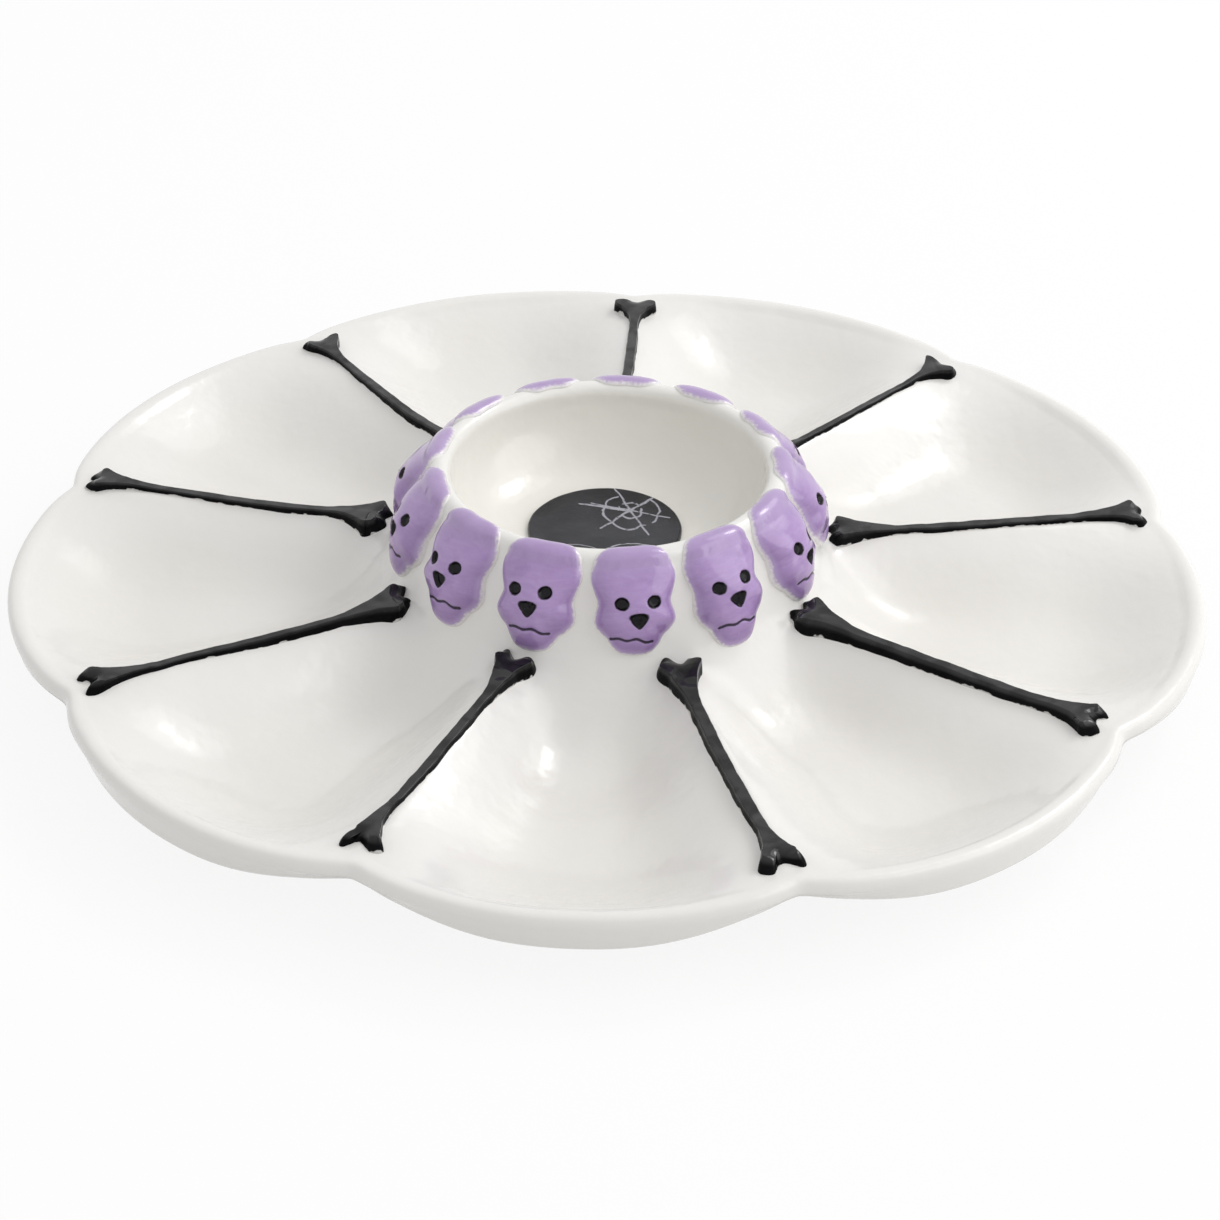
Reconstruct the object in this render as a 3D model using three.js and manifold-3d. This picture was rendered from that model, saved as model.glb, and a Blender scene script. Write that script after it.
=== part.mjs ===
import * as THREE from "three";
import { mergeVertices } from "three/addons/utils/BufferGeometryUtils.js";
import Module from "manifold-3d";

// A tapas plate in glazed earthenware: a tray of nine scoops round a raised dip bowl, cast as one shell.
// Relief pieces are stuck on with slip: a bone on each ridge, a ring of small skulls round the bowl's
// wall, and a painted disc on the bowl's floor.
// Millimetres, +Z up. The origin is on the table at the plate's axis, and one ridge points along +Y.

// Counts and directions
const scoopCount = 9;
const skullCount = 13;
const firstRidgeTurn = Math.PI / 2;
const firstSkullTurn = THREE.MathUtils.degToRad(280.5);

// Tray
const trayRadius = 174.6;
const scallopRadius = 108.4;
const rimHeight = 24.2;
const lipWidth = 5.8;
const lipFall = 1.4;
const rimBandHeight = 11.8;
const rimBandHeightAtRidge = 6.8;
const rimBandDraft = 1.5;
const rimCornerWidth = 5;
const scoopFloorHeight = 9;
const wallThickness = 5.5;
const innerCoveLength = 32;
const outerCoveLength = 38;
const ridgeInnerHeight = 27;
const ridgeOuterHeight = 25.2;
const ridgeSag = 0.6;
const ridgeFilletRise = 2.5;

// Foot ring under the tray
const footRadius = 102;
const footWidth = 5;
const footDraft = 1.5;

// Dip bowl
const bowlHeight = 55.6;
const bowlMouthRadius = 45.6;
const bowlLipThickness = 6.4;
const bowlFloorHeight = 31.8;
const bowlFloorRadius = 24.5;
const bowlBaseRadius = 63.2;
const bowlHollowHeight = 39.5;

// Relief pieces
const seatGap = 0.3;
const skullWidth = 24;
const skullHeight = 29.6;
const skullRelief = 4;
const crownReach = 3.8;
const eyeRadius = 1.75;
const eyeSpacing = 8.2;
const noseWidth = 5.4;
const noseHeight = 4.6;
const mouthWidth = 13;
const mouthLine = 0.9;
const mouthWave = 0.55;
const boneRelief = 1.9;
const boneHeadRelief = 3;
const boneBevel = 0.9;
const shaftWidth = 4;
const boneOuterHeadWidth = 13.4;
const boneInnerHeadWidth = 12.2;
const boneKnobRadius = 3.5;
const boneFlareLength = 17;
const boneRimMargin = 7;
const boneWallMargin = 2.4;
const medallionMargin = 1.5;
const medallionThickness = 1.3;

// Shapes of the curves and depths, with no unit
const sunkShare = 0.7;
const ridgeSharpness = 3.5;
const hollowSharpness = 5.5;
const innerCovePower = 3;
const outerCovePower = 2.4;

// Where the rings of the mesh lie, as shares of the span that they divide
const columnsPerHalfScoop = 5;
const columnCrowding = 1.5;
const scoopRowShares = [0.05, 0.14, 0.29, 0.54, 0.79, 0.93];
const undersideOuterShares = [0.86, 0.52];
const undersideInnerShares = [0.4];
const bowlCurveSteps = 4;
const bowlLipSteps = 4;
const lipSteps = 3;
const lipTurnShare = 0.6;

const wasm = await Module();
wasm.setup();

const scoopPitch = (2 * Math.PI) / scoopCount;
const scallopCentre = trayRadius - scallopRadius;
const bowlLipRadius = bowlLipThickness / 2;
const bowlShoulderHeight = bowlHeight - bowlLipRadius;
const bowlShoulderRadius = bowlMouthRadius + bowlLipThickness;
const bowlCurveWidth = bowlMouthRadius - bowlFloorRadius;
const bowlCurveHeight = bowlShoulderHeight - bowlFloorHeight;
const bowlWallRun = bowlBaseRadius - bowlShoulderRadius;
const bowlWallRise = bowlShoulderHeight - ridgeInnerHeight;
const bowlWallLean = Math.atan2(bowlWallRun, bowlWallRise);
const sunkDepth = bowlLipRadius * sunkShare;

// Turning geometries into solids that can be cut, and back
function solidOf(geometry) {
  const bare = geometry.clone();
  bare.deleteAttribute("normal");
  bare.deleteAttribute("uv");
  const merged = mergeVertices(bare);
  return new wasm.Manifold(
    new wasm.Mesh({
      numProp: 3,
      vertProperties: merged.attributes.position.array,
      triVerts: new Uint32Array(merged.index.array),
    }),
  );
}

function geometryOf(solid) {
  const mesh = solid.getMesh();
  const geometry = new THREE.BufferGeometry();
  geometry.setAttribute("position", new THREE.BufferAttribute(mesh.vertProperties, 3));
  geometry.setIndex(new THREE.BufferAttribute(mesh.triVerts, 1));
  return geometry;
}

function bend(geometry, place) {
  const bent = geometry.clone();
  const position = bent.attributes.position;
  const point = new THREE.Vector3();
  for (let i = 0; i < position.count; i += 1) {
    point.fromBufferAttribute(position, i);
    const moved = place(point.x, point.y, point.z);
    position.setXYZ(i, moved.x, moved.y, moved.z);
  }
  return bent;
}

// A closed skin over columns of points. Each column runs from a shared pole on top to one underneath,
// and the columns go round counter-clockwise.
function closedSkin(columns) {
  const rows = columns[0].length - 2;
  const points = [columns[0][0]];
  for (const column of columns) {
    points.push(...column.slice(1, -1));
  }
  points.push(columns[0][rows + 1]);
  const last = points.length - 1;
  const faces = [];
  for (let c = 0; c < columns.length; c += 1) {
    const here = 1 + c * rows;
    const next = 1 + ((c + 1) % columns.length) * rows;
    faces.push(0, here, next);
    for (let r = 0; r < rows - 1; r += 1) {
      faces.push(here + r, here + r + 1, next + r + 1);
      faces.push(here + r, next + r + 1, next + r);
    }
    faces.push(here + rows - 1, last, next + rows - 1);
  }
  return new THREE.BufferGeometry().setFromPoints(points).setIndex(faces);
}

// The tray's outline: nine arcs that meet in a notch at each ridge
function trayEdge(turn) {
  const fromRidge = THREE.MathUtils.euclideanModulo(turn - firstRidgeTurn, scoopPitch);
  const fromMiddle = fromRidge - scoopPitch / 2;
  const across = scallopCentre * Math.sin(fromMiddle);
  return scallopCentre * Math.cos(fromMiddle) + Math.sqrt(scallopRadius ** 2 - across ** 2);
}

// 1 along a ridge and 0 down the middle of a scoop
function ridgeShare(turn, sharpness) {
  return Math.abs(Math.cos((scoopCount * (turn - firstRidgeTurn)) / 2)) ** sharpness;
}

// The crest of a ridge sags a little between the bowl and the rim
function crestHeight(radius, edge) {
  const span = edge - lipWidth - bowlBaseRadius;
  const share = THREE.MathUtils.clamp((radius - bowlBaseRadius) / span, 0, 1);
  const sag = 4 * ridgeSag * share * (1 - share);
  return THREE.MathUtils.lerp(ridgeInnerHeight, ridgeOuterHeight, share) - sag;
}

// A scoop's middle line: down from the bowl's wall, along the floor and up to the lip
function scoopHeight(radius, edge) {
  const lip = edge - lipWidth;
  const inner = THREE.MathUtils.clamp(1 - (radius - bowlBaseRadius) / innerCoveLength, 0, 1);
  const outer = THREE.MathUtils.clamp(1 - (lip - radius) / outerCoveLength, 0, 1);
  const innerRise = (ridgeInnerHeight - scoopFloorHeight) * inner ** innerCovePower;
  const outerRise = (rimHeight - lipFall - scoopFloorHeight) * outer ** outerCovePower;
  return scoopFloorHeight + innerRise + outerRise;
}

function trayHeight(radius, edge, share) {
  return THREE.MathUtils.lerp(scoopHeight(radius, edge), crestHeight(radius, edge), share);
}

// The underside keeps the wall's thickness, measured square to the slope above it
function undersideHeight(radius, edge, share) {
  const above = trayHeight(radius, edge, share);
  const rise =
    trayHeight(radius + wallThickness / 2, edge, share) -
    trayHeight(radius - wallThickness / 2, edge, share);
  return above - Math.hypot(wallThickness, rise);
}

// A point on the bowl's inner curve, moved out by thickness. 0 is the floor and 1 is the mouth.
function bowlCurve(share, thickness) {
  const turn = (share * Math.PI) / 2;
  const radius = bowlFloorRadius + (bowlCurveWidth + thickness) * Math.sin(turn);
  const height = bowlShoulderHeight - (bowlCurveHeight + thickness) * Math.cos(turn);
  return new THREE.Vector2(radius, height);
}

function bowlWallRadius(height) {
  return bowlShoulderRadius + (bowlShoulderHeight - height) * Math.tan(bowlWallLean);
}

function bowlLip() {
  const points = [];
  const centre = bowlMouthRadius + bowlLipRadius;
  for (let i = 0; i <= bowlLipSteps; i += 1) {
    const turn = Math.PI * (1 - i / bowlLipSteps);
    const radius = centre + bowlLipRadius * Math.cos(turn);
    points.push(new THREE.Vector2(radius, bowlShoulderHeight + bowlLipRadius * Math.sin(turn)));
  }
  return points;
}

// The rim: a crease inside, a rounded top, and an outer band with its lower corner rounded under
function rimPoints(edge, share) {
  const crease = trayHeight(edge - lipWidth, edge, share);
  const band = THREE.MathUtils.lerp(rimBandHeight, rimBandHeightAtRidge, share);
  const bottom = rimHeight - band;
  const corner = rimCornerWidth / 2;
  const points = [new THREE.Vector2(edge - lipWidth, crease)];
  for (let i = 0; i <= lipSteps; i += 1) {
    const turn = Math.PI * lipTurnShare * (1 - i / lipSteps);
    const radius = edge - (lipWidth / 2) * (1 - Math.cos(turn));
    points.push(new THREE.Vector2(radius, rimHeight - (lipWidth / 2) * (1 - Math.sin(turn))));
  }
  const low = Math.min(corner, band / 3);
  points.push(new THREE.Vector2(edge - rimBandDraft, bottom + low));
  points.push(new THREE.Vector2(edge - rimBandDraft - corner / 2, bottom + low / 3));
  points.push(new THREE.Vector2(edge - rimCornerWidth, bottom));
  return points;
}

// The underside of the tray, from the rim inwards, with the foot ring across it
function undersidePoints(edge, share) {
  const outerTop = footRadius + footWidth / 2 + footDraft;
  const innerTop = footRadius - footWidth / 2 - footDraft;
  const outerSpan = edge - rimCornerWidth - outerTop;
  const innerSpan = innerTop - bowlBaseRadius;
  const at = (radius) => new THREE.Vector2(radius, undersideHeight(radius, edge, share));
  return [
    ...undersideOuterShares.map((part) => at(outerTop + part * outerSpan)),
    at(outerTop),
    new THREE.Vector2(footRadius + footWidth / 2, 0),
    new THREE.Vector2(footRadius - footWidth / 2, 0),
    at(innerTop),
    ...undersideInnerShares.map((part) => at(bowlBaseRadius + part * innerSpan)),
  ];
}

// The hollow under the bowl: up inside its outer wall, over, and down under its floor
function hollowPoints() {
  const inset = wallThickness / Math.cos(bowlWallLean);
  const start = ridgeInnerHeight - wallThickness * Math.sin(bowlWallLean);
  const top = bowlHollowHeight;
  const wall = (height) => new THREE.Vector2(bowlWallRadius(height) - inset, height);
  const reach = (bowlShoulderHeight - top) / (bowlCurveHeight + wallThickness);
  const shareAtTop = Math.acos(THREE.MathUtils.clamp(reach, 0, 1)) / (Math.PI / 2);
  const under = (part) => bowlCurve(part * shareAtTop, wallThickness);
  return [wall(start), wall(top), under(1), under(1 / 2), under(0)];
}

// One column of the platter, from the middle of the bowl's floor round to the middle underneath
function platterSection(turn) {
  const edge = trayEdge(turn);
  const ridge = ridgeShare(turn, ridgeSharpness);
  const hollow = ridgeShare(turn, hollowSharpness);
  const scoopSpan = edge - lipWidth - bowlBaseRadius;
  const points = [new THREE.Vector2(0, bowlFloorHeight)];
  for (let i = 0; i < bowlCurveSteps; i += 1) {
    points.push(bowlCurve(i / bowlCurveSteps, 0));
  }
  points.push(...bowlLip());
  const baseHeight = ridgeInnerHeight + ridgeFilletRise * ridge;
  points.push(new THREE.Vector2(bowlWallRadius(baseHeight), baseHeight));
  for (const share of scoopRowShares) {
    const radius = bowlBaseRadius + share * scoopSpan;
    points.push(new THREE.Vector2(radius, trayHeight(radius, edge, ridge)));
  }
  points.push(...rimPoints(edge, ridge));
  points.push(...undersidePoints(edge, hollow));
  points.push(...hollowPoints());
  points.push(new THREE.Vector2(0, bowlFloorHeight - wallThickness));
  return points;
}

// Moves every point of a section out by gap, square to the section
function grownSection(points, gap) {
  return points.map((point, i) => {
    const before = points[Math.max(i - 1, 0)];
    const after = points[Math.min(i + 1, points.length - 1)];
    const along = after.clone().sub(before).normalize();
    const moved = new THREE.Vector2(point.x - along.y * gap, point.y + along.x * gap);
    return i === 0 || i === points.length - 1 ? moved.setX(0) : moved;
  });
}

function columnTurns() {
  const turns = [];
  for (let scoop = 0; scoop < scoopCount; scoop += 1) {
    const ridge = firstRidgeTurn + scoop * scoopPitch;
    for (let i = 1 - columnsPerHalfScoop; i <= columnsPerHalfScoop; i += 1) {
      const share = (Math.abs(i) / columnsPerHalfScoop) ** columnCrowding;
      turns.push(ridge + (Math.sign(i) * share * scoopPitch) / 2);
    }
  }
  return turns;
}

function platterGeometry(gap) {
  const columns = columnTurns().map((turn) =>
    grownSection(platterSection(turn), gap).map(
      (point) => new THREE.Vector3(point.x * Math.cos(turn), point.x * Math.sin(turn), point.y),
    ),
  );
  return closedSkin(columns);
}

const platterWithGap = solidOf(platterGeometry(seatGap));

// A relief piece fits the surface under it: whatever reaches below the gap is cut away
function seated(geometry) {
  return geometryOf(solidOf(geometry).subtract(platterWithGap));
}

// Skull: outline of the right half from crown to chin, as shares of half the width and half the height
const skullOutlineShares = [
  [0, 1],
  [0.58, 0.97],
  [0.88, 0.78],
  [0.95, 0.4],
  [0.9, 0.06],
  [1, -0.22],
  [0.8, -0.56],
  [0.42, -0.92],
  [0, -1],
];
const skullRingShares = [0.6, 0.86, 1];
const skullHeightShares = [0.97, 0.78, 0.3];
const jawHeightShare = 0.85;
const jawStartShare = -0.3;
const crownHeightShare = 0.7;
const eyeHeightShare = 0.14;
const noseHeightShare = -0.17;
const mouthHeightShare = -0.58;
const pitFloorShare = 0.68;
const mouthSteps = 3;
const eyeSteps = 8;

function skullOutline() {
  const right = skullOutlineShares.slice(1, -1);
  const left = right.map(([x, y]) => [-x, y]);
  const all = [skullOutlineShares[0], ...left, skullOutlineShares.at(-1), ...right.reverse()];
  return all.map(([x, y]) => new THREE.Vector2((x * skullWidth) / 2, (y * skullHeight) / 2));
}

// The face is fullest at the brow, and lower at the jaw and over the crown
function skullSwell(y) {
  const jaw = THREE.MathUtils.smoothstep(y, jawStartShare * skullHeight, 0);
  const crown = THREE.MathUtils.smoothstep(y, 0, skullHeight / 2);
  const fullness = THREE.MathUtils.lerp(jawHeightShare, 1, jaw);
  return skullRelief * fullness * THREE.MathUtils.lerp(1, crownHeightShare, crown);
}

function skullBlank() {
  const columns = skullOutline().map((point) => {
    const rings = skullRingShares.map((share, i) => {
      const y = point.y * share;
      return new THREE.Vector3(point.x * share, y, skullSwell(y) * skullHeightShares[i]);
    });
    const buried = new THREE.Vector3(point.x, point.y, -sunkDepth);
    const middle = new THREE.Vector3(0, 0, skullRelief);
    const under = new THREE.Vector3(0, 0, -sunkDepth);
    return [middle, ...rings, buried, under];
  });
  return closedSkin(columns);
}

// A tool that cuts an outline down to the floor of a pit
function pitTool(outline) {
  const tool = new THREE.ExtrudeGeometry(outline, {
    depth: skullRelief,
    bevelEnabled: false,
    curveSegments: eyeSteps / 2,
  });
  return tool.translate(0, 0, skullRelief * pitFloorShare);
}

function eyeOutline(side) {
  const outline = new THREE.Shape();
  outline.absarc((side * eyeSpacing) / 2, (eyeHeightShare * skullHeight) / 2, eyeRadius, 0, 2 * Math.PI);
  return outline;
}

// Right half of the nose from its tip to the notch between its lobes, as shares of its size
const noseShares = [
  [0, -0.5],
  [0.5, 0.17],
  [0.25, 0.5],
  [0, 0.33],
];

function noseOutline() {
  const middle = (noseHeightShare * skullHeight) / 2;
  const left = noseShares.slice(1, -1).map(([x, y]) => [-x, y]);
  const points = [...noseShares, ...left.reverse()].map(
    ([x, y]) => new THREE.Vector2(x * noseWidth, middle + y * noseHeight),
  );
  return new THREE.Shape(points);
}

function mouthOutline() {
  const middle = (mouthHeightShare * skullHeight) / 2;
  const outline = new THREE.Shape();
  const edge = (i, side) => {
    const x = mouthWidth * (i / mouthSteps - 1 / 2);
    const wave = (mouthWave / 2) * (-1) ** i;
    return new THREE.Vector2(x, middle + wave + (side * mouthLine) / 2);
  };
  const points = [];
  for (let i = 0; i <= mouthSteps; i += 1) {
    points.push(edge(i, -1));
  }
  for (let i = mouthSteps; i >= 0; i -= 1) {
    points.push(edge(i, 1));
  }
  outline.setFromPoints(points);
  return outline;
}

function skullFace() {
  let face = solidOf(skullBlank());
  for (const outline of [eyeOutline(-1), eyeOutline(1), noseOutline()]) {
    face = face.subtract(solidOf(pitTool(outline)));
  }
  const lowered = pitTool(mouthOutline()).translate(0, 0, -skullRelief * (1 - jawHeightShare));
  return geometryOf(face.subtract(solidOf(lowered)));
}

// Wraps a flat skull on the bowl: x goes round it, z out of it, and y up the wall and over the lip
function onBowlWall(turn) {
  const shoulder = skullHeight / 2 - crownReach;
  return (x, y, z) => {
    const below = Math.max(0, shoulder - y);
    const tilt = Math.max(0, y - shoulder) / bowlLipRadius + bowlWallLean;
    const footing = bowlWallRadius(bowlShoulderHeight - below * Math.cos(bowlWallLean));
    const reach = y > shoulder ? bowlLipRadius + z : z;
    const start = y > shoulder ? bowlShoulderRadius - bowlLipRadius : footing;
    const height = bowlShoulderHeight - below * Math.cos(bowlWallLean) + reach * Math.sin(tilt);
    const radius = start + reach * Math.cos(tilt);
    const angle = turn + x / footing;
    return new THREE.Vector3(radius * Math.cos(angle), radius * Math.sin(angle), height);
  };
}

// Bone: from just outside the skulls' chins to a little inside the rim
const chinHeight = bowlShoulderHeight - (skullHeight - crownReach) * Math.cos(bowlWallLean);
const boneInnerEnd = bowlWallRadius(chinHeight) + boneWallMargin;
const notchRadius = trayEdge(firstRidgeTurn);
const boneOuterEnd = notchRadius - boneRimMargin;
const boneLength = boneOuterEnd - boneInnerEnd;
const shaftSteps = 4;
const knobSteps = 4;
const flareSteps = 2;
const knobBackTurn = (5 * Math.PI) / 8;
const flarePower = 2.2;

// Half of one end, from the notch between the knobs, round a knob and down the flare to the shaft.
// x runs in from the tip of the bone and y out from its middle line.
function boneEndHalf(headWidth) {
  const knobOffset = headWidth / 2 - boneKnobRadius;
  const notchTurn = -Math.asin(knobOffset / boneKnobRadius);
  const points = [];
  for (let i = 0; i <= knobSteps; i += 1) {
    const turn = THREE.MathUtils.lerp(notchTurn, knobBackTurn, i / knobSteps);
    const x = boneKnobRadius * (1 - Math.cos(turn));
    points.push(new THREE.Vector2(x, knobOffset + boneKnobRadius * Math.sin(turn)));
  }
  const back = points[knobSteps];
  for (let i = 1; i <= flareSteps; i += 1) {
    const x = THREE.MathUtils.lerp(back.x, boneFlareLength, i / flareSteps);
    const swell = (1 - i / flareSteps) ** flarePower;
    points.push(new THREE.Vector2(x, THREE.MathUtils.lerp(shaftWidth / 2, back.y, swell)));
  }
  return points;
}

function boneOutline() {
  const inner = boneEndHalf(boneInnerHeadWidth);
  const outer = boneEndHalf(boneOuterHeadWidth);
  const shaft = [];
  for (let i = 1; i < shaftSteps; i += 1) {
    const x = THREE.MathUtils.lerp(boneFlareLength, boneLength - boneFlareLength, i / shaftSteps);
    shaft.push(new THREE.Vector2(x, shaftWidth / 2));
  }
  const farEnd = outer.map((point) => new THREE.Vector2(boneLength - point.x, point.y));
  const side = [...inner, ...shaft, ...farEnd.reverse()];
  const mirrored = side.map((point) => new THREE.Vector2(point.x, -point.y));
  return new THREE.Shape([...mirrored, ...side.slice(1, -1).reverse()]);
}

function boneBlank() {
  const blank = new THREE.ExtrudeGeometry(boneOutline(), {
    depth: sunkDepth + boneRelief - 2 * boneBevel,
    bevelThickness: boneBevel,
    bevelSize: boneBevel,
    bevelOffset: -boneBevel,
    bevelSegments: 1,
  });
  return blank.translate(0, 0, boneBevel - sunkDepth);
}

// 0 along the shaft, rising to 1 at both ends
function headShare(x) {
  return Math.max(0, 1 - Math.min(x, boneLength - x) / boneFlareLength);
}

// Lays a flat bone along a ridge, so that it follows the sag of the crest and stands taller at its ends
function onRidge(turn) {
  return (x, y, z) => {
    const radius = boneInnerEnd + x;
    const swell = THREE.MathUtils.lerp(1, boneHeadRelief / boneRelief, headShare(x));
    const rise = z > 0 ? z * swell : z;
    const point = new THREE.Vector3(radius, y, crestHeight(radius, notchRadius) + rise);
    return point.applyAxisAngle(new THREE.Vector3(0, 0, 1), turn);
  };
}

const medallionSteps = 28;

// Disc on the bowl's floor, with a rounded edge
function medallionGeometry() {
  const radius = bowlFloorRadius - medallionMargin;
  const bottom = bowlFloorHeight + seatGap;
  const top = bottom + medallionThickness;
  const soft = medallionThickness / 2;
  const profile = [
    new THREE.Vector2(0, bottom),
    new THREE.Vector2(radius - soft, bottom),
    new THREE.Vector2(radius, bottom + soft),
    new THREE.Vector2(radius - soft, top),
    new THREE.Vector2(0, top),
  ];
  return new THREE.LatheGeometry(profile, medallionSteps).rotateX(Math.PI / 2);
}

// Glazes
function whiteGlaze() {
  return new THREE.MeshStandardMaterial({ color: 0xf3f1ed, roughness: 0.12, metalness: 0 });
}

function blackGlaze() {
  return new THREE.MeshStandardMaterial({ color: 0x151517, roughness: 0.15, metalness: 0 });
}

function lilacGlaze() {
  return new THREE.MeshStandardMaterial({ color: 0xa98dc4, roughness: 0.15, metalness: 0 });
}

const plate = new THREE.Group();

function add(name, geometry, material) {
  const mesh = new THREE.Mesh(geometry, material);
  mesh.name = name;
  plate.add(mesh);
}

add("platter", platterGeometry(0), whiteGlaze());

const bone = boneBlank();
for (let i = 0; i < scoopCount; i += 1) {
  const turn = firstRidgeTurn + i * scoopPitch;
  add(`bone_${i + 1}`, seated(bend(bone, onRidge(turn))), blackGlaze());
}

const skull = skullFace();
for (let i = 0; i < skullCount; i += 1) {
  const turn = firstSkullTurn + (i * 2 * Math.PI) / skullCount;
  add(`skull_${i + 1}`, seated(bend(skull, onBowlWall(turn))), lilacGlaze());
}

add("medallion", medallionGeometry(), blackGlaze());

export default plate;
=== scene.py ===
import math
import random

import bpy
from mathutils import Matrix, Vector, noise


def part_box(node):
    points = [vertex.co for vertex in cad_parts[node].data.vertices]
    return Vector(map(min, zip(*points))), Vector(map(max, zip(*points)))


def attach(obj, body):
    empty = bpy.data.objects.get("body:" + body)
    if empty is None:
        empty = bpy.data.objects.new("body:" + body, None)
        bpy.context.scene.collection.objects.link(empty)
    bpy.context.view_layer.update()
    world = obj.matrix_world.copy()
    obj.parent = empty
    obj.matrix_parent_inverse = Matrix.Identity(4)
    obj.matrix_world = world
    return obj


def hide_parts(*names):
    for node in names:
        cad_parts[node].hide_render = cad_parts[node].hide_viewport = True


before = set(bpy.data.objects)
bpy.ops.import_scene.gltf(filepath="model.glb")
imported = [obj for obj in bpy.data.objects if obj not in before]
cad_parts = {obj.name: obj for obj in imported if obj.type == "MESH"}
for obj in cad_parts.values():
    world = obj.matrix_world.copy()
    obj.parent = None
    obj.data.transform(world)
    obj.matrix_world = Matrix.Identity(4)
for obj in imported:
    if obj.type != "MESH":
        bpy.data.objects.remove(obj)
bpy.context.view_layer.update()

# The plate stands alone on a white table and is seen from above its front edge with a long lens,
# so that its far side shows nearly as large as its near side.
photo_width = 1220
lens_pixels = 3285.0
optical_centre = (607.3, 601.6)
aim_height = 0.00805
camera_distance = 0.974
camera_turn = math.radians(272.8)
camera_rise = math.radians(32.3)
camera_roll = math.radians(0.49)
film_width = 36.0


def way_out(turn, rise):
    """Direction from the plate to what stands round it, by its turn and its rise over the table."""
    level = math.cos(rise)
    return Vector((level * math.cos(turn), level * math.sin(turn), math.sin(rise)))


camera_data = bpy.data.cameras.new("photo_camera")
camera_data.sensor_width = film_width
camera_data.lens = lens_pixels / photo_width * film_width
camera_data.shift_x = (photo_width / 2 - optical_centre[0]) / photo_width
camera_data.shift_y = (optical_centre[1] - photo_width / 2) / photo_width
camera = bpy.data.objects.new("photo_camera", camera_data)
bpy.context.collection.objects.link(camera)
aim = Vector((0.0, 0.0, aim_height))
outward = way_out(camera_turn, camera_rise)
camera.location = aim + outward * camera_distance
facing = (-outward).to_track_quat("-Z", "Y").to_matrix()
camera.rotation_euler = (facing @ Matrix.Rotation(camera_roll, 3, "Z")).to_euler()
camera_data.clip_start = 0.05
camera_data.clip_end = 20.0
bpy.context.scene.camera = camera

# Platter: the shell of the plate, in white earthenware, with nine scoops, the ridges between them, the
# scalloped rim, the foot ring and the raised dip bowl. It is slip-cast in one piece, its edges are
# sponged soft, and it is dipped in a glaze that pools in the hollows and thins over the edges. Its
# cream low down and in the bowl is partly that pooling and partly painted shade.
scoop_count = 9
first_ridge = math.radians(90)
scallop_radius = 0.1084
rim_height = 0.0242
lip_width = 0.0058
lip_fall = 0.0014
band_height = 0.0118
band_height_at_ridge = 0.0054
band_draft = 0.0015
rim_corner = 0.005
floor_height = 0.009
wall_thickness = 0.0055
inner_cove = 0.041
outer_cove = 0.038
ridge_inner_height = 0.027
ridge_outer_height = 0.0252
ridge_sag = 0.0006
foot_radius = 0.102
foot_width = 0.005
foot_draft = 0.0015
mouth_radius = 0.0456
bowl_lip = 0.0064
bowl_floor_height = 0.0318
bowl_floor_radius = 0.0245
bowl_base_radius = 0.0632
hollow_height = 0.0395
wall_fillet = 0.0045
cove_power = 2.6
ridge_sharpness = 3.5
hollow_sharpness = 5.5
peak_share = 0.3
peak_softness = 0.003
peak_lift = 0.0548
peak_power = 1.7
sponged_off = 0.00013
notch_softness = 0.0008
notch_dip = 0.0011
notch_reach = 0.0075
lip_softness = 0.0028
lip_easing = 1.2
lip_inner_slope = 6
lip_corner_power = 0.78
hand_wobble = 0.00022
slow_waves = 28
fast_waves = 85
fast_share = 0.35
calm_by_bowl = 0.02
calm_by_rim = 0.01
bead_height = 0.0006
bead_reach = 0.0028
bead_start = 0.068
bead_setback = 0.0045
bead_inner_run = 0.01
bead_outer_run = 0.008

platter_low, platter_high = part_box("platter")
tray_radius = -platter_low.y
bowl_height = platter_high.z
scallop_centre = tray_radius - scallop_radius
lip_radius = bowl_lip / 2
shoulder_height = bowl_height - lip_radius
shoulder_radius = mouth_radius + bowl_lip
wall_lean = math.atan2(bowl_base_radius - shoulder_radius, shoulder_height - ridge_inner_height)
tray_start = bowl_base_radius + 0.004
hollow_end = bowl_base_radius - 0.002
scoop_pitch = 2 * math.pi / scoop_count


def between(value, low, high):
    return max(low, min(high, value))


def blend(a, b, share):
    return a + (b - a) * share


def soft_max(a, b, reach):
    """The higher of two heights, with a fillet where they cross."""
    near = max(reach - abs(a - b), 0.0) / reach
    return max(a, b) + near * near * reach / 4


def tray_edge(turn):
    """Nine arcs, with the notch between two of them rounded by the sponge."""
    from_middle = (turn - first_ridge) % scoop_pitch - scoop_pitch / 2
    reaches = []
    for angle in (from_middle, abs(from_middle) - scoop_pitch):
        across = scallop_centre * math.sin(angle)
        reaches.append(scallop_centre * math.cos(angle) + math.sqrt(scallop_radius**2 - across**2))
    from_notch = (scoop_pitch / 2 - abs(from_middle)) * tray_radius / notch_reach
    dip = notch_dip * math.exp(-(from_notch**2))
    return soft_max(reaches[0], reaches[1], notch_softness) - sponged_off - dip


def ridge_share(turn, sharpness):
    """1 along the ridges and 0 in the middle of the scoops."""
    across = scoop_count * (turn - first_ridge) / 2
    rounded = abs(math.cos(across)) ** sharpness
    peaked = (1 - math.sqrt(math.sin(across) ** 2 + peak_softness) + peak_lift) ** peak_power
    return blend(rounded, peaked, peak_share)


def crest_height(radius, edge):
    span = edge - lip_width - bowl_base_radius
    share = between((radius - bowl_base_radius) / span, 0, 1)
    return blend(ridge_inner_height, ridge_outer_height, share) - 4 * ridge_sag * share * (1 - share)


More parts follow.
